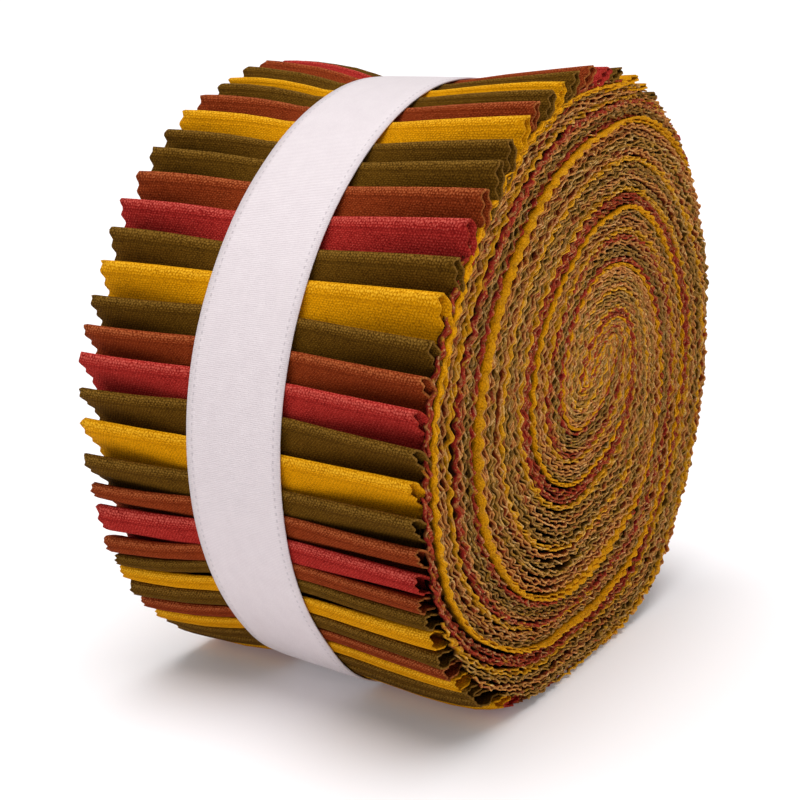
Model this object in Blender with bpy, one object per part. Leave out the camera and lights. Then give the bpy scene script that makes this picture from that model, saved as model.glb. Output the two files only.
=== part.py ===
"""A wound pack of folded fabric strips, held round its waist by a ribbon.

The roll's axis lies along X, the rounded side that shows the folds best faces -Y, and +Z is up.
Every strip is folded in half. The folded ends lie over each other like shingles all round the
outside, and the cut edges make the two end faces. An angle round the roll is in degrees: 0 is the
-Y side, 90 the top, 180 the +Y side and -90 the underside.
"""

import bisect
import math
import random
from collections import namedtuple

import bmesh
import bpy
from mathutils import Vector

MM = 0.001

# Driving dimensions, in millimetres
STRIP_WIDTH = 63.5
ROLL_SIT = 47.4
FOLD_DEPTH_END = 3.9
FOLD_DEPTH_WAIST = 1.1
RIBBON_WIDTH = 17.8
RIBBON_THICK = 1.0
RIBBON_CENTRE = -1.7
RIBBON_LEAN = 0.9
RIBBON_GAP = 0.35
RIBBON_STEPS = 96

# The outline that the folds' tips reach at the two ends of the roll
Reach = namedtuple("Reach", "angle radius")
OUTLINE = [
    Reach(-150, 54.9),
    Reach(-130, 53.0),
    Reach(-116, 50.4),
    Reach(-103, 49.2),
    Reach(-90, 49.0),
    Reach(-78, 49.2),
    Reach(-67, 49.8),
    Reach(-56, 52.2),
    Reach(-45, 54.3),
    Reach(-30, 54.9),
    Reach(0, 54.8),
    Reach(30, 54.0),
    Reach(60, 53.9),
    Reach(90, 54.9),
    Reach(120, 54.9),
    Reach(180, 55.0),
]

# How far the ribbon's outer side lies inside that outline
Draw = namedtuple("Draw", "angle depth")
RIBBON_DRAW = [
    Draw(-180, 2.3),
    Draw(-130, 1.6),
    Draw(-103, 1.9),
    Draw(-90, 1.9),
    Draw(-78, 1.9),
    Draw(-56, 1.0),
    Draw(-30, 0.9),
    Draw(0, 1.3),
    Draw(45, 1.6),
    Draw(90, 2.5),
    Draw(135, 2.4),
]

# How far the ribbon has pulled the folds round with it, in degrees
Drag = namedtuple("Drag", "angle turn")
RIBBON_DRAG = [
    Drag(-150, 0.0),
    Drag(-75, 0.0),
    Drag(-35, 1.8),
    Drag(8, 1.8),
    Drag(32, 0.3),
    Drag(62, -0.5),
    Drag(95, 0.0),
]

# The share of the full fold depth: the folds are pressed flat where the roll rests
Press = namedtuple("Press", "angle share")
FOLD_SHARE = [
    Press(-135, 1.0),
    Press(-112, 0.3),
    Press(-90, 0.1),
    Press(-70, 0.3),
    Press(-45, 0.95),
    Press(0, 1.0),
    Press(90, 0.9),
]

# How much further out the far end's tips reach than the near end's
Swell = namedtuple("Swell", "angle rise")
FAR_SWELL = [
    Swell(-125, 0.3),
    Swell(-90, 0.3),
    Swell(-66, 1.7),
    Swell(-50, 2.0),
    Swell(-30, 1.1),
    Swell(0, 0.7),
    Swell(90, 1.0),
    Swell(150, 0.6),
]

# The tips of the folds on the side that faces -Y, from the underside up to the top
FRONT_TIPS = [
    -45.3, -41.2, -37.4, -32.9, -28.5, -25.0, -21.2, -15.4, -11.2, -5.9, 0.1, 5.1, 10.8, 15.6,
    20.8, 27.4, 33.3, 39.3, 45.1, 50.6, 55.4, 61.5, 66.6, 71.3, 75.0, 80.0, 86.0, 92.0,
]
BACK_STEP = 5.3
BACK_UNEVEN = 0.9
BACK_SEED = 11

# One fold's outline between the tip below it and its own: share of the step, share of the depth
Shingle = namedtuple("Shingle", "along sunk")
SHINGLE = [
    Shingle(0.13, 1.0),
    Shingle(0.5, 0.55),
    Shingle(0.84, 0.05),
    Shingle(1.0, 0.1),
]

# Where sections are taken along X, and how far the waist's pull and the far end's swell count
Station = namedtuple("Station", "x pull swell")
STATIONS = [
    Station(-STRIP_WIDTH / 2, 0.0, 1.0),
    Station(-27.0, 0.15, 0.95),
    Station(-18.5, 0.55, 0.6),
    Station(-11.8, 1.0, 0.0),
    Station(-1.7, 1.06, 0.0),
    Station(8.4, 1.0, 0.0),
    Station(15.5, 0.62, 0.0),
    Station(25.5, 0.18, 0.0),
    Station(STRIP_WIDTH / 2, 0.0, 0.0),
]

# The end faces: the pack winds inwards round an eye that lies off the middle
EYE_Y = 2.7
EYE_Z = 5.9
PACK_EDGE = 0.905
CORE_EDGE = 0.08
EDGE_FADE = 0.05
CORE_INSET = 2.0
CORE_DISH = 1.2
FACE_CROWN = 1.0
BACK_SET = 1.2

# The proudest strip's course: degrees travelled round, share of the way from eye to outline
WIND_START = 106.0
FIRST_TURN = -2
LAST_TURN = 3
Wind = namedtuple("Wind", "travel share")
WINDING = [
    Wind(-720, 1.56),
    Wind(-360, 1.20),
    Wind(0, 0.86),
    Wind(30, 0.79),
    Wind(90, 0.76),
    Wind(170, 0.71),
    Wind(220, 0.66),
    Wind(290, 0.61),
    Wind(350, 0.56),
    Wind(390, 0.46),
    Wind(450, 0.385),
    Wind(560, 0.29),
    Wind(720, 0.16),
    Wind(860, 0.04),
    Wind(1800, -0.82),
]

# The pack's main layers across one turn: share of the turn, how far the edges stand out
Layer = namedtuple("Layer", "across proud")
LAYERS = [
    Layer(0.0, 1.9),
    Layer(0.08, 1.5),
    Layer(0.14, 0.5),
    Layer(0.45, 0.9),
    Layer(0.8, 0.1),
    Layer(0.95, 0.2),
]
NEAR_SHARE = 1.0
FAR_SHARE = -0.45

MERGE = 1e-6
FLAT_ANGLE = math.radians(0.05)
SHARP_ANGLE = math.radians(35)


def read_round(table, angle):
    """The table's value at an angle, on a smooth closed curve through its rows."""
    angles = [row[0] for row in table]
    count = len(table)
    turned = angles[0] + (angle - angles[0]) % 360
    at = bisect.bisect_right(angles, turned) - 1
    spots = []
    for step in (-1, 0, 1, 2):
        laps, index = divmod(at + step, count)
        spots.append((angles[index] + 360 * laps, table[index][1]))
    (a0, v0), (a1, v1), (a2, v2), (a3, v3) = spots
    span = a2 - a1
    t = (turned - a1) / span
    rise1 = (v2 - v0) / (a2 - a0) * span
    rise2 = (v3 - v1) / (a3 - a1) * span
    return (
        (2 * t**3 - 3 * t**2 + 1) * v1
        + (t**3 - 2 * t**2 + t) * rise1
        + (3 * t**2 - 2 * t**3) * v2
        + (t**3 - t**2) * rise2
    )


def fold_tips():
    """The angles of all the fold tips, going up the front and down the back."""
    rng = random.Random(BACK_SEED)
    tips = list(FRONT_TIPS)
    gap = 360 + tips[0] - tips[-1]
    count = round(gap / BACK_STEP)
    for index in range(1, count):
        tips.append(FRONT_TIPS[-1] + index * gap / count + rng.uniform(-1, 1) * BACK_UNEVEN)
    return tips


def on_section(angle, radius):
    """A point of a section across the roll, cut off level where the roll rests."""
    turned = math.radians(angle)
    return -radius * math.cos(turned), max(radius * math.sin(turned), -ROLL_SIT)


def tip_radius(angle, pull, swell):
    """The radius of the folds' tips, drawn in towards the ribbon by the share given as pull."""
    drawn = read_round(RIBBON_DRAW, angle) + RIBBON_THICK + RIBBON_GAP
    return read_round(OUTLINE, angle) + read_round(FAR_SWELL, angle) * swell - drawn * pull


def roll_section(tips, pull, swell):
    """The section's points, four to a fold, each fold's own tip last."""
    depth = FOLD_DEPTH_END + (FOLD_DEPTH_WAIST - FOLD_DEPTH_END) * min(pull, 1.0)
    points = []
    for index, tip in enumerate(tips):
        below = tips[index - 1] - (360 if index == 0 else 0)
        for row in SHINGLE:
            angle = below + row.along * (tip - below)
            sunk = depth * row.sunk * read_round(FOLD_SHARE, angle)
            turned = angle + pull * read_round(RIBBON_DRAG, angle)
            points.append(on_section(turned, tip_radius(turned, pull, swell) - sunk))
    return points


def face_point(angle, share):
    """A point of an end face: share is 0 at the eye and 1 at the outline."""
    y, z = on_section(angle, read_round(OUTLINE, angle))
    return EYE_Y + (y - EYE_Y) * share, EYE_Z + (z - EYE_Z) * share


def face_height(angle, share):
    """How far an end face stands out past the strips' nominal width."""
    back = max(0.0, -math.cos(math.radians(angle)))
    return FACE_CROWN * (1 - share**2) - BACK_SET * back * share**2


def band_share(travel):
    """The proudest strip's share of the way out, after so many degrees of winding."""
    after = bisect.bisect_right([row.travel for row in WINDING], travel)
    low, high = WINDING[after - 1], WINDING[after]
    return low.share + (high.share - low.share) * (travel - low.travel) / (high.travel - low.travel)


def row_share(turn, across, travelled):
    """A spiral row's share of the way out, kept between the core and the fold ends."""
    outer = band_share(360 * turn + travelled)
    inner = band_share(360 * (turn + 1) + travelled)
    return min(max(outer + (inner - outer) * across, CORE_EDGE), PACK_EDGE)


def face_spot(side, angle, share, proud):
    """A point of an end face, side being 1 at the near end and -1 at the far end."""
    y, z = face_point(angle, share)
    room = min(PACK_EDGE - share, share - CORE_EDGE, EDGE_FADE) / EDGE_FADE
    stands = proud * (NEAR_SHARE if side > 0 else FAR_SHARE) * room
    return side * (STRIP_WIDTH / 2 + face_height(angle, share) + stands), y, z


def lay_grid(mesh, columns, rows, place):
    """A grid of quads whose corners are moved to where place(column, row) puts them."""
    made = bmesh.ops.create_grid(mesh, x_segments=columns, y_segments=rows, size=0.5)
    for vert in made["verts"]:
        column = round((vert.co.x + 0.5) * columns)
        row = round((vert.co.y + 0.5) * rows)
        vert.co = Vector(place(column, row)) * MM


def loft_rim(mesh, side, section, tips):
    """The folds' ends: from the four points of each fold to the one that the face has for it."""
    x = side * STRIP_WIDTH / 2
    rim = [mesh.verts.new(Vector((x, y, z)) * MM) for y, z in section]
    edge = [mesh.verts.new(Vector(face_spot(side, tip, PACK_EDGE, 0)) * MM) for tip in tips]
    for index, corner in enumerate(edge):
        before = edge[index - 1]
        first = index * len(SHINGLE)
        below, valley, slope, crest, tip = [rim[first + step] for step in range(-1, 4)]
        mesh.faces.new((before, valley, below))
        mesh.faces.new((before, slope, valley))
        mesh.faces.new((before, corner, slope))
        mesh.faces.new((corner, crest, slope))
        mesh.faces.new((corner, tip, crest))


def close_end(mesh, side, section, tips):
    """One end face: the folds' ends, the pack's spiral layers and the dished core."""
    loft_rim(mesh, side, section, tips)
    rows = [(turn, layer) for turn in range(FIRST_TURN, LAST_TURN) for layer in LAYERS]
    # The winding runs inwards as the angle falls, so the columns take the tips from last to first.
    order = sorted(tips, key=lambda tip: (WIND_START - tip) % 360)
    order.append(order[0] - 360)

    def place(column, row):
        turn, layer = rows[row]
        tip = order[column]
        travelled = (WIND_START - order[0]) % 360 + (order[0] - tip) % 360
        if column == len(tips):
            travelled += 360
        return face_spot(side, tip, row_share(turn, layer.across, travelled), layer.proud)

    lay_grid(mesh, len(tips), len(rows) - 1, place)


def dish_cores(mesh):
    """Fill what is left open at the two cores and press the fillings in."""
    rims = [edge for edge in mesh.edges if edge.is_boundary]
    made = bmesh.ops.holes_fill(mesh, edges=rims)
    bmesh.ops.recalc_face_normals(mesh, faces=mesh.faces)
    bmesh.ops.inset_region(mesh, faces=made["faces"], thickness=CORE_INSET * MM, depth=-CORE_DISH * MM)


def build_roll():
    """The wound pack as one closed solid."""
    tips = fold_tips()
    mesh = bmesh.new()
    sections = [roll_section(tips, row.pull, row.swell) for row in STATIONS]
    around = len(sections[0])

    def place(column, row):
        return STATIONS[row].x, *sections[row][column % around]

    lay_grid(mesh, around, len(STATIONS) - 1, place)
    close_end(mesh, -1, sections[0], tips)
    close_end(mesh, 1, sections[-1], tips)
    bmesh.ops.remove_doubles(mesh, verts=mesh.verts, dist=MERGE)
    bmesh.ops.dissolve_degenerate(mesh, edges=mesh.edges, dist=MERGE)
    dish_cores(mesh)
    bmesh.ops.dissolve_limit(mesh, angle_limit=FLAT_ANGLE, verts=mesh.verts, edges=mesh.edges)
    return finish_mesh(mesh, "strip_roll", (0.30, 0.16, 0.03), 0.9)


def build_ribbon():
    """The ribbon that holds the pack: a closed band round the waist."""
    mesh = bmesh.new()
    corners = [(-0.5, 0.0), (0.5, 0.0), (0.5, 1.0), (-0.5, 1.0)]

    def place(column, row):
        across, inward = corners[row % len(corners)]
        angle = 360 * (column % RIBBON_STEPS) / RIBBON_STEPS
        radius = read_round(OUTLINE, angle) - read_round(RIBBON_DRAW, angle)
        lean = RIBBON_LEAN * math.sin(math.radians(angle))
        y, z = on_section(angle, radius - inward * RIBBON_THICK)
        return RIBBON_CENTRE + lean + across * RIBBON_WIDTH, y, z

    lay_grid(mesh, RIBBON_STEPS, len(corners), place)
    bmesh.ops.remove_doubles(mesh, verts=mesh.verts, dist=MERGE)
    return finish_mesh(mesh, "ribbon_band", (0.80, 0.76, 0.78), 0.4)


def finish_mesh(mesh, name, colour, roughness):
    """Turn the faces outwards and make the object, with a material of its own."""
    bmesh.ops.recalc_face_normals(mesh, faces=mesh.faces)
    data = bpy.data.meshes.new(name)
    mesh.to_mesh(data)
    mesh.free()
    data.shade_smooth()
    data.set_sharp_from_angle(angle=SHARP_ANGLE)
    material = bpy.data.materials.new(name)
    material.use_nodes = True
    shader = material.node_tree.nodes["Principled BSDF"]
    shader.inputs["Base Color"].default_value = (*colour, 1.0)
    shader.inputs["Roughness"].default_value = roughness
    shader.inputs["Metallic"].default_value = 0.0
    data.materials.append(material)
    return bpy.data.objects.new(name, data)


def stand_on_origin(objects):
    """Put the middle of the whole part's underside at the origin."""
    corners = [vert.co for item in objects for vert in item.data.vertices]
    low = [min(co[axis] for co in corners) for axis in range(3)]
    high = [max(co[axis] for co in corners) for axis in range(3)]
    shift = ((low[0] + high[0]) / 2, (low[1] + high[1]) / 2, low[2])
    for item in objects:
        for vert in item.data.vertices:
            for axis in range(3):
                vert.co[axis] -= shift[axis]


def main():
    for item in list(bpy.data.objects):
        bpy.data.objects.remove(item, do_unlink=True)
    parts = bpy.data.collections.new("fabric_strip_roll")
    bpy.context.scene.collection.children.link(parts)
    objects = [build_roll(), build_ribbon()]
    stand_on_origin(objects)
    for item in objects:
        parts.objects.link(item)


main()
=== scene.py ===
import bisect
import math
import random
from collections import namedtuple

import bmesh
import bpy
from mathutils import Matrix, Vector, noise


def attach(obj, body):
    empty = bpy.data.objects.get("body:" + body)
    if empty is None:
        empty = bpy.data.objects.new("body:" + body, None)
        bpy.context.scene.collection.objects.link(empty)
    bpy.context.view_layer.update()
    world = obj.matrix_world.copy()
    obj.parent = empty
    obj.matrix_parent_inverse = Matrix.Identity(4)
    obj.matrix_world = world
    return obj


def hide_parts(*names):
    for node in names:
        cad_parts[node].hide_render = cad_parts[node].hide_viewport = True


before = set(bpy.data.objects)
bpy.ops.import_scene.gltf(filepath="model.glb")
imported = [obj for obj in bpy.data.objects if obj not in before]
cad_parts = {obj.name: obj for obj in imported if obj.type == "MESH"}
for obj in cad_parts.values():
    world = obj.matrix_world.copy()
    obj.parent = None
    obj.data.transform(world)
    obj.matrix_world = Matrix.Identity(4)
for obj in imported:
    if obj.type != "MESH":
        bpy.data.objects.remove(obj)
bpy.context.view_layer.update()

# All sizes are in millimetres. The roll's axis lies along X, the folds that show face -Y.
# Angles round the roll are in degrees: 0 the -Y side, 90 the top, 180 the +Y side.
mm = 0.001
rollAt = Vector((-0.94, 0.04, 47.4))  # middle of the winding in the frame

Row = namedtuple("Row", "at value")
# a fold line's angle at both ends, its cloth, and how far the ribbon turns it
Fold = namedtuple("Fold", "near far colour drag")
# a point of a folded strip's section
Bend = namedtuple("Bend", "along sunk below low")

# a table's rows stand at angles round the roll, or at places along X in bellySwell, pull and swell
roll = {
    "width": 63.5,
    "sit": 47.4,  # height of the winding's middle
    "foldDepth": 3.9,
    "foldDepthWaist": 1.1,
    "underRibbon": 0.35,  # how much further in than the ribbon the folds lie there
    # the radius that the fold lines reach at the near end
    "outline": [
        Row(-150, 54.7),
        Row(-130, 53.9),
        Row(-116, 51.5),
        Row(-103, 49.8),
        Row(-90, 49.0),
        Row(-78, 49.4),
        Row(-67, 51.0),
        Row(-56, 52.7),
        Row(-45, 54.3),
        Row(-30, 54.9),
        Row(0, 54.8),
        Row(30, 54.0),
        Row(60, 53.9),
        Row(90, 54.9),
        Row(120, 54.9),
        Row(180, 55.0),
    ],
    # how much of their full depth the folds have
    "foldShare": [
        Row(-135, 0.8),
        Row(-112, 0.3),
        Row(-90, 0.1),
        Row(-70, 0.3),
        Row(-45, 0.95),
        Row(0, 1.0),
        Row(60, 0.95),
        Row(85, 0.72),
        Row(105, 0.45),
        Row(135, 0.5),
        Row(180, 0.8),
    ],
    # how much fatter the roll is at the far end
    "farSwell": [
        Row(-125, 0.3),
        Row(-90, 0.3),
        Row(-66, 1.3),
        Row(-50, 1.3),
        Row(-30, 0.7),
        Row(0, 0.7),
        Row(90, 0.9),
        Row(150, 0.6),
    ],
    # how much the body bulges out low at the front between its two ends
    "belly": [
        Row(-88, 0.0),
        Row(-70, 0.9),
        Row(-58, 1.0),
        Row(-42, 0.15),
        Row(-34, 0.0),
        Row(60, 0.0),
        Row(180, 0.0),
    ],
    "bellySwell": [
        Row(-31.75, 0.1),
        Row(-20, 0.9),
        Row(-12, 1.4),
        Row(-3, 1.9),
        Row(6, 2.2),
        Row(12, 2.2),
        Row(20, 2.1),
        Row(28, 1.2),
        Row(31.75, 0.2),
    ],
    # how far the ribbon draws the folds in
    "ribbonDraw": [
        Row(-180, 2.8),
        Row(-130, 2.1),
        Row(-103, 2.4),
        Row(-90, 2.4),
        Row(-78, 1.8),
        Row(-67, 0.8),
        Row(-56, 0.7),
        Row(-44, 1.1),
        Row(-30, 1.4),
        Row(0, 1.8),
        Row(45, 1.7),
        Row(62, 1.4),
        Row(76, 1.5),
        Row(90, 1.95),
        Row(135, 2.5),
    ],
    # how far in the folds' near ends lie
    "endsIn": [
        Row(-150, 0.6),
        Row(-115, 0.8),
        Row(-60, 1.6),
        Row(-30, 1.5),
        Row(0, 0.7),
        Row(25, 0.2),
        Row(45, 0.0),
        Row(100, 0.0),
        Row(122, 0.4),
        Row(145, 0.6),
        Row(180, 0.6),
    ],
    # how much further the inner layer's near end stands out than the outer one's
    "innerOut": [
        Row(-60, 0.1),
        Row(-20, 0.2),
        Row(-6, 0.6),
        Row(0, 0.85),
        Row(12, 0.55),
        Row(28, 0.6),
        Row(36, 0.35),
        Row(60, 0.25),
        Row(180, 0.2),
    ],
    # how much of the belly's rounder fold the strips have there
    "lowShare": [
        Row(-120, 1.0),
        Row(-24, 1.0),
        Row(-12, 0.75),
        Row(-4, 0.35),
        Row(8, 0.0),
        Row(90, 0.0),
        Row(180, 0.3),
    ],
    # how far inside the rim the face's lines start
    "rimMargin": [
        Row(-150, 1.0),
        Row(-120, 0.9),
        Row(-75, 0.8),
        Row(-60, 2.2),
        Row(-45, 2.8),
        Row(-30, 2.6),
        Row(0, 2.4),
        Row(20, 2.6),
        Row(40, 3.2),
        Row(75, 3.2),
        Row(92, 2.4),
        Row(104, 1.3),
        Row(120, 1.0),
        Row(180, 1.0),
    ],
    # where along the roll the ribbon's draw works, and the far end's swelling
    "pull": [
        Row(-31.75, 0.0),
        Row(-27.0, 0.07),
        Row(-18.5, 0.44),
        Row(-11.5, 1.0),
        Row(-2.0, 1.06),
        Row(7.6, 1.0),
        Row(15.5, 0.58),
        Row(25.5, 0.16),
        Row(31.75, 0.0),
    ],
    "swell": [Row(-31.75, 1.0), Row(-27.0, 0.95), Row(-18.5, 0.6), Row(-11.8, 0.0), Row(31.75, 0.0)],
}

eye = Vector((2.7, 5.9))  # where the pack winds in, as y and z
# the pressed fold in the middle of the winding
lobe = {"half": 5.0, "along": Vector((0.845, 0.534)), "shift": Vector((-2.1, 1.4))}


def ringRead(table, angle):
    # smooth closed curve through a table's rows
    angles = [row.at for row in table]
    count = len(table)
    turned = angles[0] + (angle - angles[0]) % 360
    place = bisect.bisect_right(angles, turned) - 1
    spots = []
    for step in (-1, 0, 1, 2):
        laps, index = divmod(place + step, count)
        spots.append((angles[index] + 360 * laps, table[index].value))
    return smoothBetween(spots, turned)


def lineRead(table, at):
    # smooth open curve through a table's rows
    places = [row.at for row in table]
    at = min(max(at, places[0]), places[-1])
    place = min(bisect.bisect_right(places, at) - 1, len(table) - 2)
    spots = []
    for step in (-1, 0, 1, 2):
        index = min(max(place + step, 0), len(table) - 1)
        spots.append((places[index] + (step if index != place + step else 0), table[index].value))
    return smoothBetween(spots, at)


def smoothBetween(spots, at):
    (a0, v0), (a1, v1), (a2, v2), (a3, v3) = spots
    span = a2 - a1
    t = (at - a1) / span
    rise1 = (v2 - v0) / (a2 - a0) * span
    rise2 = (v3 - v1) / (a3 - a1) * span
    return (
        (2 * t**3 - 3 * t**2 + 1) * v1
        + (t**3 - 2 * t**2 + t) * rise1
        + (3 * t**2 - 2 * t**3) * v2
        + (t**3 - t**2) * rise2
    )


ringStep = 0.5
alongTables = ("bellySwell", "pull", "swell")
ringCache = {
    name: [ringRead(table, index * ringStep) for index in range(int(360 / ringStep))]
    for name, table in roll.items()
    if isinstance(table, list) and name not in alongTables
}


def ring(name, angle):
    # a table's value round the roll, from its cached curve
    values = ringCache[name]
    place = angle / ringStep
    index = math.floor(place)
    part = place - index
    return values[index % len(values)] * (1 - part) + values[(index + 1) % len(values)] * part


def onSection(angle, radius):
    # y and z from the winding's middle, flattened where the roll sits
    turned = math.radians(angle)
    return -radius * math.cos(turned), max(radius * math.sin(turned), -roll["sit"])


def layGrid(mesh, columns, rows, place):
    # a grid of quads whose corners place(column, row) puts somewhere, with their cloth values
    cloth = mesh.verts.layers.float_vector.get("cloth") or mesh.verts.layers.float_vector.new("cloth")
    toneAndShade = mesh.verts.layers.float.get("toneAndShade") or mesh.verts.layers.float.new("toneAndShade")
    for vert in bmesh.ops.create_grid(mesh, x_segments=columns, y_segments=rows, size=0.5)["verts"]:
        column = round((vert.co.x + 0.5) * columns)
        row = round((vert.co.y + 0.5) * rows)
        point, values, shade = place(column, row)
        vert.co = (rollAt + Vector(point)) * mm
        vert[cloth] = values
        vert[toneAndShade] = shade


def makePiece(mesh, name, material, thickness=0):
    data = bpy.data.meshes.new(name)
    mesh.to_mesh(data)
    mesh.free()
    data.shade_smooth()
    data.materials.append(material)
    piece = bpy.data.objects.new(name, data)
    bpy.context.scene.collection.objects.link(piece)
    if thickness:
        solid = piece.modifiers.new("thickness", "SOLIDIFY")
        solid.thickness = thickness * mm
        solid.offset = 0
    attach(piece, "root")
    return piece


class Value:
    # a socket that arithmetic can be done on
    def __init__(self, tree, socket):
        self.tree = tree
        self.socket = socket

    def maths(self, name, items, clamp=False):
        node = self.tree.nodes.new("ShaderNodeMath")
        node.operation = name
        node.use_clamp = clamp
        for index, item in enumerate(items):
            if isinstance(item, Value):
                self.tree.links.new(item.socket, node.inputs[index])
            else:
                node.inputs[index].default_value = item
        return Value(self.tree, node.outputs[0])

    def __add__(self, other):
        return self.maths("ADD", (self, other))

    def __sub__(self, other):
        return self.maths("SUBTRACT", (self, other))

    def __mul__(self, other):
        return self.maths("MULTIPLY", (self, other))

    def __truediv__(self, other):
        return self.maths("DIVIDE", (self, other))

    def __rsub__(self, other):
        return self.maths("SUBTRACT", (other, self))

    def __rtruediv__(self, other):
        return self.maths("DIVIDE", (other, self))

    __radd__ = __add__
    __rmul__ = __mul__

    def sine(self):
        return self.maths("SINE", (self,))

    def absolute(self):
        return self.maths("ABSOLUTE", (self,))

    def clamped(self):
        return self.maths("ADD", (self, 0.0), clamp=True)


class Nodes:
    # the ways to add nodes to a tree; an underscore stands for a space in a socket's name
    def __init__(self, tree):
        self.tree = tree

    def node(self, kind, settings=None, **inputs):
        node = self.tree.nodes.new("ShaderNode" + kind)
        for key, value in (settings or {}).items():
            setattr(node, key, value)
        for key, value in inputs.items():
            self.feed(node.inputs[key.replace("_", " ")], value)
        return node

    def feed(self, socket, value):
        if isinstance(value, Value):
            self.tree.links.new(value.socket, socket)
        elif isinstance(value, bpy.types.NodeSocket):
            self.tree.links.new(value, socket)
        else:
            socket.default_value = value

    def value(self, socket):
        return Value(self.tree, socket)

    def split(self, vector):
        node = self.node("SeparateXYZ", Vector=vector)
        return [self.value(node.outputs[index]) for index in range(3)]

    def mix(self, share, first, second):
        node = self.node("Mix", {"data_type": "RGBA"})
        self.feed(node.inputs[0], share)
        self.feed(node.inputs[6], first)
        self.feed(node.inputs[7], second)
        return node.outputs[2]

    def noise(self, vector, scale, detail=2.0, rough=0.5):
        node = self.node("TexNoise", Vector=vector, Scale=scale, Detail=detail, Roughness=rough)
        return self.value(node.outputs["Fac"])

    def attribute(self, name):
        return self.node("Attribute", {"attribute_name": name})


class Surface(Nodes):
    # a material and its shader
    def __init__(self, name):
        self.material = bpy.data.materials.new(name)
        self.material.use_nodes = True
        super().__init__(self.material.node_tree)
        self.shader = self.tree.nodes["Principled BSDF"]

    def set(self, **inputs):
        for key, value in inputs.items():
            self.feed(self.shader.inputs[key.replace("_", " ")], value)

    def bump(self, height, distance, strength=1.0):
        node = self.node("Bump", Height=height, Distance=distance, Strength=strength)
        self.feed(self.shader.inputs["Normal"], node.outputs[0])


def linear(colour):
    # sRGB 0 to 255 to linear, with alpha
    parts = [value / 255 for value in colour]
    return [value / 12.92 if value < 0.04045 else ((value + 0.055) / 1.055) ** 2.4 for value in parts] + [1]


# the four cottons: in shade, in the light, with a painted highlight on the lit threads and the crest, which is
# partly paler wear too, and at a frayed cut
cloths = {
    "yellow": {"dark": (155, 97, 3), "body": (222, 150, 3), "light": (240, 186, 48), "cut": (230, 166, 40)},
    "olive": {"dark": (50, 29, 3), "body": (101, 68, 14), "light": (140, 104, 42), "cut": (192, 140, 66)},
    "rust": {"dark": (80, 22, 4), "body": (140, 56, 22), "light": (186, 104, 60), "cut": (222, 152, 78)},
    "red": {"dark": (104, 8, 10), "body": (177, 47, 40), "light": (208, 98, 84), "cut": (178, 68, 42)},
}
weave = {
    "across": 0.54,  # pitch of the threads in a row, and of the rows
    "along": 0.42,
    "dots": 0.32,  # how much single threads show, and whole rows
    "rows": 0.42,
    "middle": 0.23,  # brings both to about a half
    "drawn": (1.3, 0.9),  # how far the threads wander along and across
    "drawnScale": 0.7,
    "contrast": 1.2,
    "slub": 2.6,
    "slubScale": 2.8,
    "cloud": 0.4,
    "cloudScale": 0.25,
    "level": 0.7,
    "crest": 1.3,  # the fold is paler up to here from its line: a painted highlight on the crest, partly wear too
    "crestLight": 0.75,
    "lip": 1.45,  # a pressed line this far from the fold, a groove with painted shade in it
    "lipWide": 0.4,
    "lipPaintedShade": 0.35,
    "lipDeep": 1.5,
    "lightFrom": 0.35,
    "lightShare": 0.85,
    "frayed": 0.2,
    "frayedShare": 0.22,
    "frayedUneven": 1.6,
    "rough": 0.95,
    "specular": 0.03,
    "bump": 0.06,
    "bumpShare": 0.9,
    "slubBump": 1.2,
}
# what differs at the pinked edges in the end faces
buried = {
    "contrast": 0.36,
    "lightShare": 0.3,
    "frayed": 0.34,
    "frayedShare": 0.85,
    "pale": (240, 200, 134),  # bare fibre at the cut
    "paleShare": 0.75,
    "paleShareLine": 0.2,
    "from": 0.28,  # depth where the painted shade between the layers starts, and over which it closes
    "over": 0.85,
    "share": 0.94,
    # colour of the painted shade between the layers
    "dark": (30, 13, 4),
    "gaps": 0.6,  # of the dark threads between the pale ones
    "fibreScale": 3.0,
    "wornScale": 0.4,
    "speckScale": 1.1,
    "patchEdge": 9.0,
}
# patches of other colours along the layers: above or below the edge of a noise
Patch = namedtuple("Patch", "scale side edge share colour")
patches = [
    Patch(0.45, 1, 0.56, 0.75, (162, 62, 40)),
    Patch(0.45, -1, 0.43, 0.7, (108, 78, 30)),
    Patch(0.62, 1, 0.58, 0.7, (222, 162, 44)),
    Patch(0.62, -1, 0.42, 0.6, (212, 154, 86)),
]


def weaveDots(u, v):
    # rows of threads that come up by turns, about 0.5
    row = (v * (math.pi / weave["along"])).sine()
    threads = (u * (2 * math.pi / weave["across"])).sine() * row
    return threads * weave["dots"] + row.absolute() * weave["rows"] + weave["middle"]


def patchColours(surface, cloth, colour):
    # prints of other colours along the edge
    scales = sorted({patch.scale for patch in patches})
    fields = {scale: surface.noise(cloth, scale, 2.0, 0.6) for scale in scales}
    for patch in patches:
        inside = ((fields[patch.scale] - patch.edge) * (buried["patchEdge"] * patch.side)).clamped()
        colour = surface.mix(inside * patch.share, colour, linear(patch.colour))
    return colour


def edgeColours(surface, cloth, colour, dark, cut, toneAndShade, pale):
    # pale and dark fibres along a cut edge, and painted shade between the layers
    speck = surface.noise(cloth, buried["speckScale"], 3.0, 0.7)
    fibre = surface.noise(cloth, buried["fibreScale"], 2.0, 0.7)
    worn = surface.noise(cloth, buried["wornScale"], 3.0, 0.6)
    bare = ((fibre - 0.53) * 4.0 + (worn - 0.5) * 4.0).clamped() * pale
    colour = surface.mix(bare, colour, linear(buried["pale"]))
    colour = surface.mix(((0.45 - fibre) * 5.0).clamped() * buried["gaps"], colour, linear(dark))
    # painted shade: darker down a line's side between the layers, with dark specks and the lines' own painted
    # shade
    sunk = ((cut - buried["from"]) / buried["over"]).clamped() * buried["share"]
    paintedShadeAndSpecks = (sunk + ((0.5 - speck) * 3.0).clamped() * 0.5 + (1 - toneAndShade) * 0.5).clamped()
    return surface.mix(paintedShadeAndSpecks, colour, linear(buried["dark"]))


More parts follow.
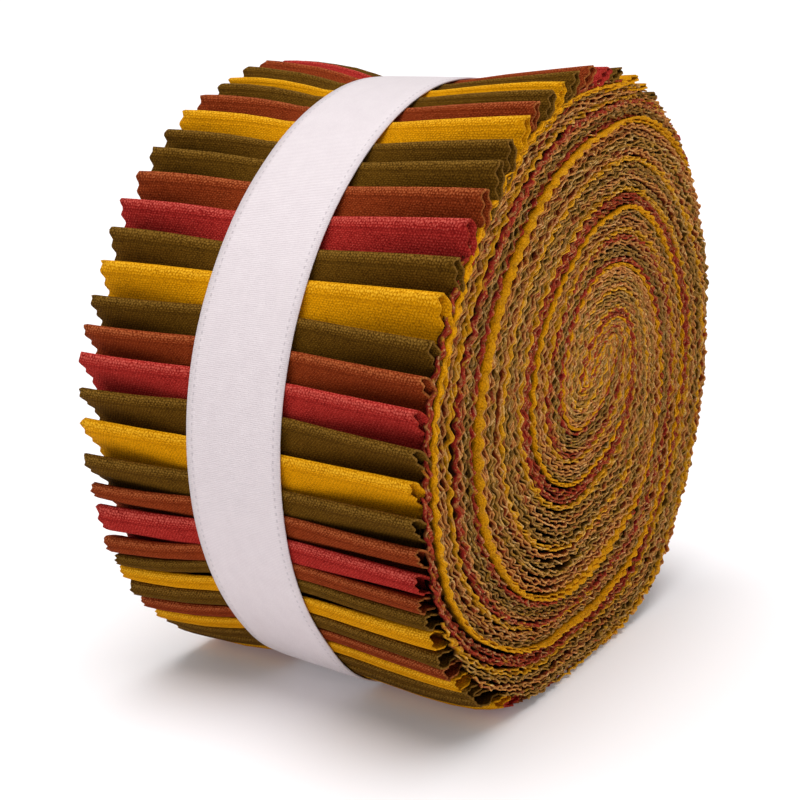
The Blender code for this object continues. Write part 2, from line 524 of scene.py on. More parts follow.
def clothMaterial(name, colours, edges=False, mixed=True):
    # edges is for the cut edges in the end faces, mixed for those that aren't one plain line
    look = {**weave, **buried} if edges else weave
    contrast = look["contrast"] if mixed else weave["contrast"]
    surface = Surface(name)
    cloth = surface.attribute("cloth").outputs["Vector"]
    toneAndShade = surface.value(surface.attribute("toneAndShade").outputs["Fac"])
    u, v, cut = surface.split(cloth)
    drawn = surface.noise(cloth, weave["drawnScale"], 3.0, 0.7)
    thread = weaveDots(u + drawn * weave["drawn"][0], v + (1 - drawn) * weave["drawn"][1])
    slub = surface.noise(cloth, weave["slubScale"], 3.0, 0.7)
    cloud = surface.noise(cloth, weave["cloudScale"])
    height = thread + slub * weave["slubBump"]
    grain = (thread - 0.5) * contrast + (slub - 0.5) * weave["slub"]
    # toneAndShade is random tone, and on the face lines also painted shade in the notches and at the back
    shade = (grain + (cloud - 0.5) * weave["cloud"] + weave["level"]) * toneAndShade
    colour = surface.mix(shade.clamped(), linear(colours["dark"]), linear(colours["body"]))
    # painted highlight: the crest band and the brightest threads are mixed towards the light colour; the crest is
    # partly paler wear too
    crest = (1 - v.absolute() / weave["crest"]).clamped()
    lit = (grain - weave["lightFrom"] + crest * weave["crestLight"]).clamped()
    colour = surface.mix(lit * look["lightShare"], colour, linear(colours["light"]))
    if not edges:
        lip = (1 - (v.absolute() - weave["lip"]).absolute() / weave["lipWide"]).clamped()
        # painted shade in the pressed groove under the crest
        colour = surface.mix(lip * weave["lipPaintedShade"], colour, linear(colours["dark"]))
        height = height - lip * weave["lipDeep"]
    frayed = (1 - cut / look["frayed"] + (slub - 0.5) * weave["frayedUneven"]).clamped()
    colour = surface.mix(frayed * look["frayedShare"], colour, linear(colours["cut"]))
    if edges and mixed:
        colour = patchColours(surface, cloth, colour)
    if edges:
        pale = frayed * buried["paleShare" if mixed else "paleShareLine"]
        colour = edgeColours(surface, cloth, colour, colours["dark"], cut, toneAndShade, pale)
    surface.set(Base_Color=colour, Roughness=weave["rough"], Specular_IOR_Level=weave["specular"])
    surface.bump(height, weave["bump"] * mm, weave["bumpShare"])
    return surface.material


stripLooks = {name: clothMaterial("cloth_" + name, colours) for name, colours in cloths.items()}
edgeLooks = {name: clothMaterial("edges_" + name, colours, True) for name, colours in cloths.items()}
edgeLooks["line"] = clothMaterial("edges_line", cloths["yellow"], True, False)
print("cloths", len(stripLooks) + len(edgeLooks))

# the folds that show, from the lowest up, with their angle at the near end, at the far end, the
# cloth, and how far the ribbon turns them
folds = [
    Fold(-44.6, -46.0, "olive", 0.3),
    Fold(-40.4, -42.0, "yellow", 0.5),
    Fold(-36.7, -38.1, "rust", 0.65),
    Fold(-32.3, -33.4, "olive", 0.5),
    Fold(-27.1, -29.4, "yellow", 0.2),
    Fold(-23.5, -26.6, "olive", 1.0),
    Fold(-20.1, -22.3, "rust", 0.6),
    Fold(-15.3, -15.4, "red", -0.3),
    Fold(-11.0, -11.4, "rust", 0.0),
    Fold(-5.8, -5.9, "olive", -0.7),
    Fold(-0.2, 0.4, "yellow", -0.6),
    Fold(4.7, 5.5, "olive", 0.6),
    Fold(10.3, 11.3, "red", 0.35),
    Fold(15.2, 16.0, "rust", 0.8),
    Fold(20.5, 21.0, "olive", 1.1),
    Fold(27.7, 27.1, "yellow", 0.62),
    Fold(33.5, 33.2, "olive", 0.22),
    Fold(40.0, 38.7, "red", 0.5),
    Fold(45.7, 44.6, "rust", 1.0),
    Fold(51.3, 49.9, "olive", 1.0),
    Fold(56.3, 54.6, "olive", 0.9),
    Fold(62.7, 60.3, "yellow", 1.0),
    Fold(67.5, 65.8, "rust", 1.0),
    Fold(72.0, 70.6, "olive", 0.8),
    Fold(76.2, 73.8, "yellow", 0.6),
    Fold(81.0, 79.0, "olive", 0.4),
    Fold(87.0, 85.0, "rust", 0.2),
    Fold(93.0, 91.0, "red", 0.0),
]

strips = {
    "thick": 0.30,
    "backStep": 5.3,  # degrees between the folds that don't show
    "backUneven": 0.9,
    "backSeed": 11,
    "endSeed": 5,
    "samples": 64,
    "meanStep": 5.1,  # mm between folds, to measure the cloth in a section
    "foldLine": (0.06, -0.02),  # the section's outermost point
    "pinkPitch": 2.3,
    "pinkDepth": {"near": 0.65, "far": 0.8, "inner": 0.35},
    "bendOver": 3.0,  # mm of cloth round the fold into the inner layer
    "innerFarIn": 0.3,
    "innerKept": {"yellow": 12.0, "other": 6.0},  # mm of an inner layer's end before it goes in
    "innerSinks": 0.35,  # and how steeply it does
    "farEndsIn": 0.3,  # share of endsIn at the far end
    "endsFrom": 25.0,  # past this place along X a strip's end can stand out or in
    "freeDepth": 3.0,  # a fold as deep as this lifts freely
    "standOut": 0.5,
    "innerUneven": 0.3,
    "lift": (-0.35, 0.25),
    "shade": (0.88, 1.1),
    # the places along X where a strip's section is laid
    "stations": (
        (-31.75, -29.0, -25.0, -20.5, -16.0, -12.6, -10.4, -2.0)
        + (6.4, 8.8, 12.0, 16.5, 21.5, 26.5, 29.5, 31.75)
    ),
    # one folded strip, from its inner layer round the fold to its outer layer: share of the
    # step to the next fold down, share of the fold's depth, how far below that in mm, and the
    # share of the depth low on the roll, where the folds hang out rounder
    "section": [
        Bend(3.0, 1.0, 2.1, 1.0),
        Bend(2.3, 1.0, 1.6, 1.0),
        Bend(1.75, 1.0, 1.15, 1.0),
        Bend(1.3, 1.0, 0.75, 1.0),
        Bend(0.95, 1.0, 0.45, 1.0),
        Bend(0.6, 0.86, 0.2, 0.9),
        Bend(0.32, 0.66, 0.08, 0.7),
        Bend(0.12, 0.45, 0.0, 0.5),
        Bend(0.0, 0.27, 0.0, 0.36),
        Bend(-0.04, 0.12, 0.0, 0.25),
        Bend(-0.01, 0.02, 0.0, 0.17),
        Bend(0.06, -0.02, 0.0, 0.13),
        Bend(0.16, 0.04, 0.0, 0.09),
        Bend(0.32, 0.22, 0.0, 0.06),
        Bend(0.5, 0.5, 0.0, 0.07),
        Bend(0.72, 0.8, 0.0, 0.2),
        Bend(0.95, 0.97, 0.08, 0.6),
        Bend(1.3, 1.0, 0.35, 1.0),
        Bend(1.75, 1.0, 0.7, 1.0),
    ],
}


def allFolds():
    # the folds that show and, evenly stepped, the ones round the back
    rng = random.Random(strips["backSeed"])
    rows = list(folds)
    gap = 360 + rows[0].near - rows[-1].near
    count = round(gap / strips["backStep"])
    for index in range(1, count):
        angle = folds[-1].near + index * gap / count + rng.uniform(-1, 1) * strips["backUneven"]
        skew = rng.uniform(-1, 1)
        rows.append(Fold(angle + skew, angle - skew, folds[index * 5 % len(folds)].colour, 0.0))
    return rows


def stripSection():
    # the section's points at even steps along the cloth, with the length from the fold line
    rows = strips["section"]
    parts = 8
    fine = []
    for index in range(len(rows) - 1):
        around = [(step, rows[min(max(step, 0), len(rows) - 1)]) for step in range(index - 1, index + 3)]
        for part in range(parts):
            at = index + part / parts
            fine.append([smoothBetween([(step, row[k]) for step, row in around], at) for k in range(4)])
    fine.append(list(rows[-1]))
    lengths = [0.0]
    for first, second in zip(fine, fine[1:], strict=False):
        over = (second[0] - first[0]) * strips["meanStep"]
        down = (second[1] - first[1]) * roll["foldDepth"] + second[2] - first[2]
        lengths.append(lengths[-1] + math.hypot(over, down))
    total = lengths[-1]
    along, sunk = strips["foldLine"]
    fold = lengths[fine.index(min(fine, key=lambda row: abs(row[0] - along) + abs(row[1] - sunk)))]
    points = []
    for sample in range(strips["samples"] + 1):
        want = total * sample / strips["samples"]
        after = min(max(bisect.bisect_left(lengths, want), 1), len(lengths) - 1)
        part = (want - lengths[after - 1]) / (lengths[after] - lengths[after - 1])
        bend = [a + (b - a) * part for a, b in zip(fine[after - 1], fine[after], strict=True)]
        points.append((Bend(*bend), want - fold))
    return points, total


def bodyRadius(angle, x):
    far = ring("farSwell", angle) * lineRead(roll["swell"], x)
    low = ring("belly", angle) * lineRead(roll["bellySwell"], x)
    return ring("outline", angle) + far + low


def tipRadius(angle, x):
    drawn = ring("ribbonDraw", angle) + roll["underRibbon"]
    return bodyRadius(angle, x) - drawn * lineRead(roll["pull"], x)


def foldDepth(angle, x):
    pull = min(lineRead(roll["pull"], x), 1.0)
    depth = roll["foldDepth"] + (roll["foldDepthWaist"] - roll["foldDepth"]) * pull
    return depth * ring("foldShare", angle)


pinkRound = 0.35  # how rounded the teeth are


def pinked(length, phase, pitch):
    # the zigzag of pinking shears, 0 at a tooth's tip and 1 in a notch
    place = length / pitch + phase
    wave = abs(2 * (place - math.floor(place)) - 1)
    return wave * wave * (3 - 2 * wave) * pinkRound + wave * (1 - pinkRound)


def backward(angle):
    # 0 on the front half of the roll, 1 at the back
    return max(0.0, -math.cos(math.radians(angle)))


def layStrip(mesh, section, fold, below, rng):
    # one folded strip, which lies over the next fold down
    stations = strips["stations"]
    half = roll["width"] / 2
    phases = [rng.uniform(0, 1) for _ in range(4)]
    stand = [rng.uniform(-strips["standOut"], strips["standOut"]) for _ in range(2)]
    lift = rng.uniform(*strips["lift"])
    shade = rng.uniform(*strips["shade"])
    out = rng.uniform(-strips["innerUneven"], strips["innerUneven"])
    kept = strips["innerKept"].get(fold.colour, strips["innerKept"]["other"])

    def cutAt(tip, length, near):
        # how far from the roll's middle the strip is cut, at a length from its fold line
        layer = 1 if length < 0 else 0
        inner = min(max(-length / strips["bendOver"], 0.0), 1.0)
        cut = half + stand[near] + inner * (ring("innerOut", tip) + out if near else out - strips["innerFarIn"])
        cut -= max(0.0, -length - kept) * strips["innerSinks"]
        deep = strips["pinkDepth"]["near" if near else "far"]
        deep += (strips["pinkDepth"]["inner"] - deep) * inner
        cut -= deep * pinked(length, phases[layer * 2 + near], strips["pinkPitch"])
        return cut - ring("endsIn", tip) * (1.0 if near else strips["farEndsIn"])

    def place(column, row):
        bend, length = section[column]
        nominal = stations[row]
        share = (nominal / half + 1) / 2
        tip = fold.far + (fold.near - fold.far) * share
        under = below.far + (below.near - below.far) * share
        cut = cutAt(tip, length, nominal > 0)
        end = max(0.0, (abs(nominal) - strips["endsFrom"]) / (half - strips["endsFrom"]))
        x = nominal + (1 if nominal > 0 else -1) * (cut - half) * end
        angle = tip - bend.along * (tip - under)
        angle += lineRead(roll["pull"], nominal) * fold.drag
        depth = foldDepth(angle, nominal)
        sunk = bend.sunk + (bend.low - bend.sunk) * ring("lowShare", tip)
        radius = tipRadius(angle, nominal) - depth * sunk - bend.below
        radius += lift * min(depth / strips["freeDepth"], 1.0) * (1 - sunk) * end
        y, z = onSection(angle, radius - strips["thick"] / 2)
        # what lies on the floor keeps off it by half its thickness
        z = max(z, -roll["sit"] + strips["thick"] / 2 + 0.02 * (column % 2))
        return (x, y, z), (x, length, max(cut - abs(x), 0.0)), shade

    layGrid(mesh, len(section) - 1, len(stations) - 1, place)


def buildStrips():
    rows = allFolds()
    section, total = stripSection()
    rng = random.Random(strips["endSeed"])
    meshes = {name: bmesh.new() for name in cloths}
    counts = {name: 0 for name in cloths}
    lowest = rows[-1]._replace(near=rows[-1].near - 360, far=rows[-1].far - 360)
    for below, fold in zip([lowest, *rows], rows, strict=False):
        layStrip(meshes[fold.colour], section, fold, below, rng)
        counts[fold.colour] += 1
    for name, mesh in meshes.items():
        piece = makePiece(mesh, "strips_" + name, stripLooks[name], strips["thick"])
        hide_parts("strip_roll")
        flat = (roll["width"] * mm, counts[name] * total * mm)
    print("strips", counts, "cloth length each", round(total, 1))


# one band of the winding: where it ends across a turn, its cloths, and how light it is
Zone = namedtuple("Zone", "upto first second mixed bright")
# one layer's edge: how far it stands out, its light, its teeth's shift, its place in the noise,
# whether it is one of the bold yellow ones, and how far down its side is then clear
Line = namedtuple("Line", "proud shade walk drift bold open")

# the pinked edges of the wound strips, which make the two end faces
faces = {
    "windStart": 106.0,  # the angle that the winding's tables count from
    "winding": (-420.0, 870.0),
    "seed": {"near": 3, "far": 4},
    "step": {"near": 0.40, "far": 0.60},
    "pairs": {"near": 24, "far": 14},  # doubled strips in one turn
    "rimIn": {"near": 0.0, "far": 2.2},
    "stands": {"near": 1.0, "far": -0.4},  # how much of the proud table each face has
    "pairGap": 0.38,
    "deep": 4.6,
    "thick": 0.24,
    "crown": 1.0,
    "open": {"first": 1.25, "second": 0.7},  # how far down its side a yellow line is clear of the next one
    "backSet": 0.1,
    "pinkPitch": 2.9,
    "pinkDepth": 0.6,
    "sway": 0.16,
    "swayUneven": 4,
    "swayPhase": 0.2,
    "lift": 0.2,
    "layerLift": 0.1,
    "shade": (0.88, 1.12),
    "ending": (-0.015, 0.008),  # where the lines end in the middle
    "walk": 0.16,  # how far the teeth shift from layer to layer
    "boldFrom": 1.0,  # a yellow line that stands out more than this is laid broad and plain
    "boldLoose": 0.3,
    "boldInner": 0.5,
    # where the painted shade starts down a bold line's side
    "boldCut": (0.2, 0.15),
    # how freely the lines stand out: the way in from the rim to the full share, the least and the
    # rise in the middle, the loss at the back, and where the inner turns start to be flatter
    "room": {"rim": 0.03, "middle": (0.25, 2.0), "back": 0.8, "inner": (0.3, 3.0, 0.15)},
    "shallow": (0.6, 1.3),  # the least depth of a line's side near the rim, and what the back adds
    "hollow": (0.5, 0.6),  # what the folds' hollows need beside a line that goes deep
    # the share by which the painted shade down the lines' sides is less at the back
    "backCut": 0.25,
    "looseMiddle": 0.3,
    # noises along a line: their pitch and lane, how far they push it out, and how far sideways
    "swings": {
        "slow": (0.05, 0.0, 0.7, 0.25),
        "quick": (0.38, 7.0, 0.55, 0.0),
        "fray": (1.1, 3.0, 0.4, 0.3),
        "twist": (0.6, 5.0, 0.0, 0.35),
    },
    "toothSwing": 0.8,
    "toothUneven": 0.7,
    "light": (1.15, 0.4),  # painted light at a tooth's tip, and how much less in a notch, as painted shade
    # painted shade at the back of the roll: the light in front, and how much less at the back
    "lightRound": (1.08, 0.2),
    "secondAt": 0.585,  # where across a turn the second yellow strip lies
    # how far out from the middle the first yellow strip lies along the winding
    "first": [
        Row(-420, 1.40),
        Row(-360, 1.16),
        Row(-145, 1.13),
        Row(-60, 1.08),
        Row(-35, 0.99),
        Row(-17, 0.92),
        Row(0, 0.86),
        Row(17, 0.79),
        Row(31, 0.77),
        Row(62, 0.745),
        Row(104, 0.745),
        Row(125, 0.735),
        Row(146, 0.70),
        Row(187, 0.67),
        Row(202, 0.64),
        Row(215, 0.60),
        Row(237, 0.566),
        Row(270, 0.51),
        Row(300, 0.44),
        Row(330, 0.385),
        Row(360, 0.335),
        Row(402, 0.29),
        Row(440, 0.235),
        Row(480, 0.21),
        Row(540, 0.15),
        Row(600, 0.10),
        Row(720, 0.03),
        Row(1080, -0.1),
    ],
    # the same for the second
    "second": [
        Row(-60, 1.12),
        Row(0, 0.985),
        Row(10, 0.94),
        Row(21, 0.928),
        Row(52, 0.928),
        Row(83, 0.93),
        Row(96, 0.94),
        Row(106, 0.935),
        Row(116, 0.93),
        Row(128, 0.925),
        Row(140, 0.89),
        Row(151, 0.85),
        Row(167, 0.828),
        Row(180, 0.81),
        Row(200, 0.806),
        Row(215, 0.77),
        Row(240, 0.73),
        Row(265, 0.706),
        Row(290, 0.70),
        Row(302, 0.68),
        Row(327, 0.62),
        Row(352, 0.57),
        Row(360, 0.55),
        Row(370, 0.51),
        Row(391, 0.47),
        Row(404, 0.445),
        Row(422, 0.438),
        Row(443, 0.435),
        Row(480, 0.415),
        Row(493, 0.39),
        Row(511, 0.36),
        Row(547, 0.325),
        Row(600, 0.25),
        Row(660, 0.18),
        Row(720, 0.11),
        Row(900, 0.0),
        Row(1440, -0.1),
    ],
    # how far the edges stand out across one turn, from the first yellow strip inwards
    "proud": [
        Row(0.0, 1.5),
        Row(0.012, 0.5),
        Row(0.05, 0.3),
        Row(0.12, 0.4),
        Row(0.20, 0.1),
        Row(0.28, 0.3),
        Row(0.36, 0.0),
        Row(0.42, -0.1),
        Row(0.45, -0.35),
        Row(0.50, -0.1),
        Row(0.57, -0.2),
        Row(0.585, 1.2),
        Row(0.60, 0.2),
        Row(0.68, -0.1),
        Row(0.76, 0.1),
        Row(0.80, 0.4),
        Row(0.84, 0.3),
        Row(0.88, 0.1),
        Row(0.93, 0.3),
        Row(0.97, 0.3),
        Row(1.0, 0.5),
    ],
    "zones": [
        Zone(0.012, "yellow", "yellow", "yellow", 1.1),
        Zone(0.07, "rust", "olive", "rust", 1.15),
        Zone(0.1, "rust", "yellow", "rust", 1.0),
        Zone(0.16, "rust", "olive", "yellow", 1.05),
        Zone(0.2, "olive", "yellow", "rust", 0.95),
        Zone(0.25, "rust", "rust", "yellow", 1.0),
        Zone(0.3, "olive", "rust", "yellow", 1.0),
        Zone(0.37, "yellow", "olive", "rust", 0.85),
        Zone(0.42, "rust", "olive", "red", 0.8),
        Zone(0.455, "olive", "rust", "olive", 0.75),
        Zone(0.485, "yellow", "rust", "yellow", 0.9),
        Zone(0.53, "rust", "olive", "red", 0.85),
        Zone(0.575, "red", "rust", "rust", 0.8),
        Zone(0.6, "yellow", "yellow", "yellow", 1.1),
        Zone(0.69, "rust", "olive", "red", 0.85),
        Zone(0.72, "yellow", "olive", "rust", 0.85),
        Zone(0.77, "olive", "yellow", "red", 0.8),
        Zone(0.87, "olive", "rust", "red", 0.75),
        Zone(0.955, "olive", "olive", "olive", 0.5),
        Zone(1.01, "red", "red", "olive", 0.85),
    ],
}


def pathRead(rows, at):
    after = min(max(bisect.bisect_right([row.at for row in rows], at), 1), len(rows) - 1)
    low, high = rows[after - 1], rows[after]
    return low.value + (high.value - low.value) * (at - low.at) / (high.at - low.at)


def lineShare(travel, across):
    # how far out a line lies: between the two yellow strips, or the second and the first's next turn
    second = pathRead(faces["second"], travel + 360)
    if across < faces["secondAt"]:
        part = across / faces["secondAt"]
        return pathRead(faces["first"], travel) * (1 - part) + second * part
    part = (across - faces["secondAt"]) / (1 - faces["secondAt"])
    return second * (1 - part) + pathRead(faces["first"], travel + 360) * part


def facePoint(angle, share):
    rim = Vector(onSection(angle, ring("outline", angle)))
    arm = rim - eye
    folded = lobe["shift"] + lobe["along"] * (lobe["half"] * arm.normalized().dot(lobe["along"]))
    return eye + arm * share + folded * (1 - share) ** 3


def rimShare(angle, label):
    # where the face's lines start
    reach = (Vector(onSection(angle, ring("outline", angle))) - eye).length
    return 1 - (ring("rimMargin", angle) + faces["rimIn"][label]) / reach


def zoneAt(across):
    return next(zone for zone in faces["zones"] if across < zone.upto)


def linePoints(label, across, ending):
    # the winding's points along one line, with their angle, share and length so far
    points = []
    travel, stop = faces["winding"]
    length = 0.0
    last = None
    while travel < stop:
        angle = faces["windStart"] - travel
        share = lineShare(travel, across)
        if share > rimShare(angle, label):
            travel += 0.5
            continue
        if share < ending:
            break
        spot = facePoint(angle, share)
        if last is not None:
            length += (spot - last).length
        last = spot
        points.append((spot, angle, share, length))
        travel += math.degrees(faces["step"][label] / max((spot - eye).length, 4.0))
    return points


def toothPlace(points):
    # lets the teeth of neighbouring lines meet on the -Y side, as the strips were cut in one stack
    for _, angle, _, length in points:
        if 10 < angle % 360 <= 20:
            return -length
    spot, angle, _, _ = points[0]
    return (spot - eye).length * math.radians((20 - angle) % 360)


def layLine(mesh, label, points, line):
    # one layer's pinked edge, and its side down into the pack
    side = 1 if label == "near" else -1
    half = roll["width"] / 2
    offset = toothPlace(points)

    def swing(name, length):
        pitch, lane, out, sideways = faces["swings"][name]
        return noise.noise(Vector((length * pitch, line.drift, lane))), out, sideways

    def place(column, row):
        spot, angle, share, length = points[column]
        back = backward(angle)
        loose = (faces["boldLoose"] if line.bold else 1.0) * min(1.0, faces["looseMiddle"] + share)
        slow, slowOut, slowSideways = swing("slow", length)
        quick, quickOut, _ = swing("quick", length)
        fray, frayOut, fraySideways = swing("fray", length)
        # lines stand out less near the rim, in the middle and at the back
        least, rise = faces["room"]["middle"]
        inner, innerRise, innerLeast = faces["room"]["inner"]
        room = min(1.0, max(0.0, (rimShare(angle, label) - share) / faces["room"]["rim"]))
        room *= min(1.0, least + share * rise)
        room *= (1 - faces["room"]["back"] * back) * min(1.0, max(innerLeast, (share - inner) * innerRise))
        tooth = pinked(length + offset, line.walk + slow * faces["toothSwing"], faces["pinkPitch"])
        x = half + faces["crown"] * (1 - share**2) - faces["backSet"] * back * share**2
        x += line.proud * room + (slow * slowOut + quick * quickOut + fray * frayOut) * loose
        x -= tooth * faces["pinkDepth"] * (1 + quick * faces["toothUneven"])
        # near the rim the side stays inside the hollows of the folds
        margin = (1 - share) * (spot - eye).length / max(share, 0.1)
        before, beside = faces["hollow"]
        clear = min(1.0, max(0.0, margin - before) / (foldDepth(angle, half) + beside))
        shallow, backShallow = faces["shallow"]
        full = max(shallow + backShallow * back, faces["deep"] * clear**3)
        openTo = line.open * room
        deep = min((0.0, openTo, full)[row + (row and not line.bold)], full)
        if row == 0:
            run = (points[min(column + 1, len(points) - 1)][0] - points[max(column - 1, 0)][0]).normalized()
            turn = 2 * math.pi * ((length + offset) / faces["pinkPitch"] + line.walk + faces["swayPhase"])
            wave = faces["sway"] * math.sin(turn + quick * faces["swayUneven"])
            twist, _, twistSideways = swing("twist", length)
            frayed = (twist * twistSideways + fray * fraySideways) * loose
            spot = spot + Vector((run.y, -run.x)) * (wave + slow * slowSideways + frayed)
        # cut sets the painted shade down a line's side, less at the back; on a bold line it starts below the
        # clear part
        cut = deep * (1 - faces["backCut"] * back)
        if line.bold:
            start, most = faces["boldCut"]
            cut = start + min(deep, most) + max(0.0, deep - openTo)
        bright, notch = faces["light"]
        front, behind = faces["lightRound"]
        # painted shade: darker in the teeth's notches and at the back of the roll
        light = line.shade * (bright - notch * tooth) * (front - behind * back)
        return (side * (x - deep), spot.x, spot.y), (length + line.drift * 3, 5.0 + deep + line.drift, cut), light

    layGrid(mesh, len(points) - 1, 2 if line.bold else 1, place)


def buildFace(label):
    pairs = faces["pairs"][label]
    rng = random.Random(faces["seed"][label])
    meshes = {name: bmesh.new() for name in edgeLooks}
    laid = {name: 0.0 for name in edgeLooks}
    walk = 0.0
    for number in range(pairs * 2):
        pair, second = divmod(number, 2)
        stands = lineRead(faces["proud"], pair / pairs)
        if not second:
            zone = zoneAt(pair / pairs)
            colour = rng.choice([zone.first, zone.first, zone.second, zone.second, zone.mixed])
            lift = rng.uniform(-faces["lift"], faces["lift"])
            shade = zone.bright * rng.uniform(*faces["shade"])
            ending = rng.uniform(*faces["ending"])
            bold = colour == "yellow" and stands > faces["boldFrom"]
        uneven = lift + rng.uniform(-faces["layerLift"], faces["layerLift"])
        proud = stands * faces["stands"][label] + uneven * (faces["boldLoose"] if bold else 1.0)
        if bold and second:
            proud -= faces["boldInner"]
        walk += rng.uniform(-faces["walk"], faces["walk"])
        drift = rng.uniform(0, 100)
        points = linePoints(label, (pair + second * faces["pairGap"]) / pairs, ending)
        if len(points) < 3:
            continue
        look = "line" if bold else colour
        line = Line(proud, shade, walk, drift, bold, faces["open"]["second" if pair else "first"])
        layLine(meshes[look], label, points, line)
        laid[look] += points[-1][3]
    for name, mesh in meshes.items():
        if not laid[name]:
            mesh.free()
            continue
        piece = makePiece(mesh, "edges_" + label + "_" + name, edgeLooks[name], faces["thick"])
        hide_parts("strip_roll")
        flat = (0.01, laid[name] * mm)
        area = faces["deep"] * mm * laid[name] * mm
    print("face", label, {name: round(value) for name, value in laid.items()})


# the inside of the pack, painted dark as the shade between the layers
core = {
    "columns": 180,
    "ends": 3.6,  # how far in from the strips' cut ends
    "stations": [-24.0, -18.0, -12.0, 0.0, 8.5, 15.0, 22.0],
    "under": 1.0,
    "offFloor": 0.8,
    "dark": (26, 14, 4),
    "light": (58, 34, 12),
}


def coreMaterial():
    surface = Surface("pack_inside_shade")
    place = surface.node("TexCoord").outputs["Object"]
    grain = surface.noise(place, 900.0, 2.0)
    # painted shade: the inside is coloured dark, with a fine grain
    colour = surface.mix(grain, linear(core["dark"]), linear(core["light"]))
    surface.set(Base_Color=colour, Roughness=0.95, Specular_IOR_Level=0.1)
    surface.bump(grain, 0.2 * mm)
    return surface.material


def buildCore():
    columns = core["columns"]
    ends = roll["width"] / 2 - core["ends"]
    stations = [-ends, *core["stations"], ends]
    mesh = bmesh.new()

    def place(column, row):
        angle = 360 * (column % columns) / columns
        x = stations[row]
        y, z = onSection(angle, tipRadius(angle, x) - foldDepth(angle, x) - core["under"])
        return (x, y, max(z, -roll["sit"] + core["offFloor"])), (x, 0.0, 9.0), 1.0

    layGrid(mesh, columns, len(stations) - 1, place)
    bmesh.ops.remove_doubles(mesh, verts=mesh.verts, dist=1e-6)
    bmesh.ops.holes_fill(mesh, edges=[edge for edge in mesh.edges if edge.is_boundary])
    bmesh.ops.recalc_face_normals(mesh, faces=mesh.faces)
    piece = makePiece(mesh, "pack_core_shade", coreMaterial())
    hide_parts("strip_roll")
    print("core", columns, "columns")


ribbon = {
    "wide": 17.8,
    "thick": 0.25,
    "centre": -2.1,
    "lean": 0.9,
    "start": -112.0,  # where its first end lies
    "lap": 13.0,  # degrees that the ends lap
    "lapFrom": 352.0,  # from here it rises over its first end
    "lapRise": 0.32,
    "columns": 300,
    "rows": 10,
    "wave": 0.12,
    "wander": 0.25,
    "edgeDown": 0.12,  # how far its edges are pressed down
    "edgeFrom": 0.8,
    "offFloor": 0.02,
    "meanRadius": 51.0,
    "patternRadius": 52.0,
    "base": (238, 228, 230),
    "shade": (198, 184, 189),
    "dotShade": (170, 160, 166),
    "rib": 0.30,
    "fineRib": 0.22,
    "dotFromEdge": 1.15,
    "dotWide": 0.22,
    "dotPitch": 1.15,
    "dotShare": 0.6,
    "rough": 0.42,
    "bump": 0.06,
}


def ribbonMaterial():
    surface = Surface("satin_ribbon")
    cloth = surface.attribute("cloth").outputs["Vector"]
    u, v, cut = surface.split(cloth)
    ribs = (v * (math.pi / ribbon["rib"])).sine().absolute()
    fine = (u * (math.pi / ribbon["fineRib"])).sine().absolute()
    cloud = surface.noise(cloth, 0.35, 3.0, 0.6)
    grain = surface.noise(cloth, 3.5, 3.0, 0.7)
    light = (ribs * 0.4 + cloud * 0.3 + grain * 0.5 - 0.05).clamped()
    colour = surface.mix(light, linear(ribbon["shade"]), linear(ribbon["base"]))
    nearDot = (1 - (cut - ribbon["dotFromEdge"]).absolute() / ribbon["dotWide"]).clamped()
    dots = ((v * (2 * math.pi / ribbon["dotPitch"])).sine() * 2.0).clamped() * nearDot
    colour = surface.mix(dots * ribbon["dotShare"], colour, linear(ribbon["dotShade"]))
    surface.set(Base_Color=colour, Roughness=ribbon["rough"], Specular_IOR_Level=0.45, Sheen_Weight=0.2)
    surface.bump(ribs * 0.6 + fine * 0.4 - dots, ribbon["bump"] * mm, 0.8)
    return surface.material


def buildRibbon():
    mesh = bmesh.new()
    columns = ribbon["columns"]
    sweep = 360 + ribbon["lap"]

    def place(column, row):
        turned = sweep * column / columns
        angle = ribbon["start"] + turned
        share = row / ribbon["rows"] - 0.5
        over = min(max((turned - ribbon["lapFrom"]) / (360 - ribbon["lapFrom"]), 0.0), 1.0)
        lean = ribbon["lean"] * math.sin(math.radians(angle))
        x = ribbon["centre"] + lean + share * ribbon["wide"]
        radius = bodyRadius(angle, x) - ring("ribbonDraw", angle)
        radius += over * over * (3 - 2 * over) * ribbon["lapRise"]
        edge = max(0.0, abs(share) * 2 - ribbon["edgeFrom"]) / (1 - ribbon["edgeFrom"])
        wave = noise.noise(Vector((turned * 0.05, share * 1.2, 3.0))) * ribbon["wave"]
        y, z = onSection(angle, radius + wave - edge * edge * ribbon["edgeDown"])
        z = max(z, -roll["sit"] + ribbon["thick"] / 2 + ribbon["offFloor"])
        x += noise.noise(Vector((turned * 0.03, 9.0, 1.0))) * ribbon["wander"]
        along = math.radians(turned) * ribbon["patternRadius"]
        return (x, y, z), (share * ribbon["wide"], along, (0.5 - abs(share)) * ribbon["wide"]), 1.0

    layGrid(mesh, columns, ribbon["rows"], place)
    piece = makePiece(mesh, "ribbon", ribbonMaterial(), ribbon["thick"])
    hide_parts("ribbon_band")


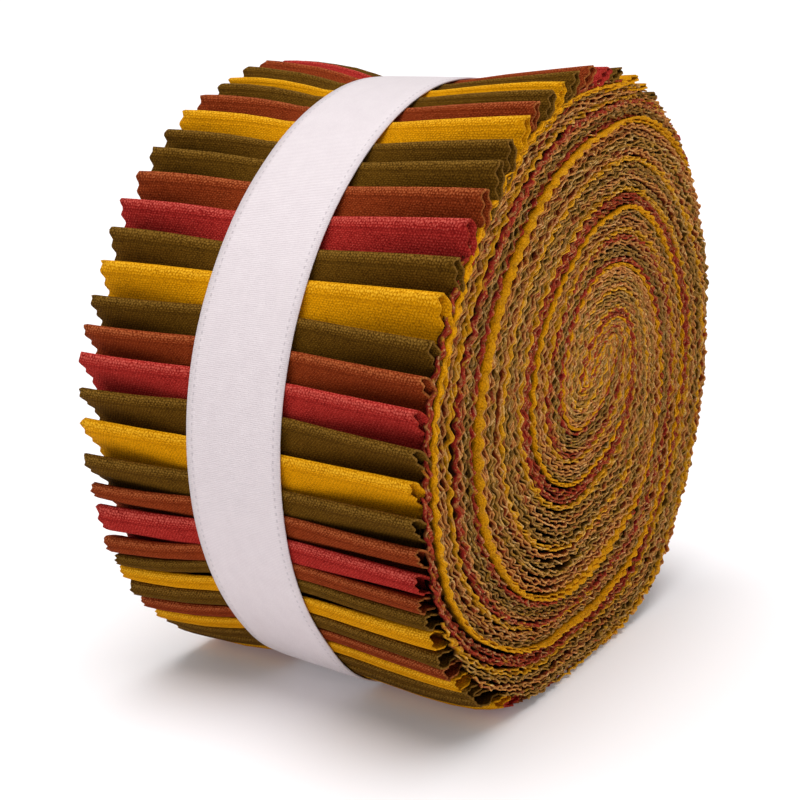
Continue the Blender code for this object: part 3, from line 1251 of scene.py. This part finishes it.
studio = {
    "floor": 60.0,
    "floorColour": (0.86, 0.84, 0.85, 1),
    "floorGlow": (1.0, 0.985, 0.99, 1),
    "floorGlowStrength": 0.09,
    "sky": 0.46,
    "horizon": 1.1,
    "horizonEdge": (0.05, 0.10),  # the heights between which the horizon's light turns into the sky's
    "key": {"from": (0.0, -0.12, 1.0), "spread": 44.0, "power": 2.65},
    "camera": {"at": (0.12536, -0.20596, 0.1033), "look": (-0.5258, 0.8162, -0.2395), "lens": 62.235},
}


def buildFloor():
    mesh = bmesh.new()
    bmesh.ops.create_grid(mesh, x_segments=1, y_segments=1, size=studio["floor"])
    data = bpy.data.meshes.new("floor")
    mesh.to_mesh(data)
    mesh.free()
    floor = bpy.data.objects.new("floor", data)
    bpy.context.scene.collection.objects.link(floor)
    surface = Surface("pale_floor")
    surface.set(Base_Color=studio["floorColour"], Roughness=0.7, Specular_IOR_Level=0.1)
    surface.set(Emission_Color=studio["floorGlow"], Emission_Strength=studio["floorGlowStrength"])
    data.materials.append(surface.material)


def buildLight():
    world = bpy.data.worlds.new("studio")
    world.use_nodes = True
    nodes = Nodes(world.node_tree)
    height = nodes.split(nodes.node("TexCoord").outputs["Generated"])[2]
    low, high = studio["horizonEdge"]
    steps = {"From_Min": low, "From_Max": high, "To_Min": studio["horizon"], "To_Max": studio["sky"]}
    background = nodes.tree.nodes["Background"]
    nodes.feed(background.inputs["Strength"], nodes.node("MapRange", Value=height, **steps).outputs[0])
    nodes.feed(background.inputs["Color"], (1, 1, 1, 1))
    bpy.context.scene.world = world

    key = studio["key"]
    lamp = bpy.data.lights.new("key", "SUN")
    lamp.angle = math.radians(key["spread"])
    lamp.energy = key["power"]
    light = bpy.data.objects.new("key", lamp)
    light.location = key["from"]
    light.rotation_euler = (-Vector(key["from"])).to_track_quat("-Z", "Y").to_euler()
    bpy.context.scene.collection.objects.link(light)


def buildCamera():
    view = studio["camera"]
    lens = bpy.data.cameras.new("camera")
    lens.lens = view["lens"]
    lens.sensor_width = 36
    lens.clip_start = 0.01
    lens.clip_end = 200
    camera = bpy.data.objects.new("camera", lens)
    camera.location = view["at"]
    camera.rotation_euler = Vector(view["look"]).to_track_quat("-Z", "Y").to_euler()
    bpy.context.scene.collection.objects.link(camera)
    bpy.context.scene.camera = camera
    bpy.context.scene.view_settings.view_transform = "Standard"


buildCore()
buildStrips()
buildFace("near")
buildFace("far")
buildRibbon()
buildFloor()
buildLight()
buildCamera()
print("studio ready")
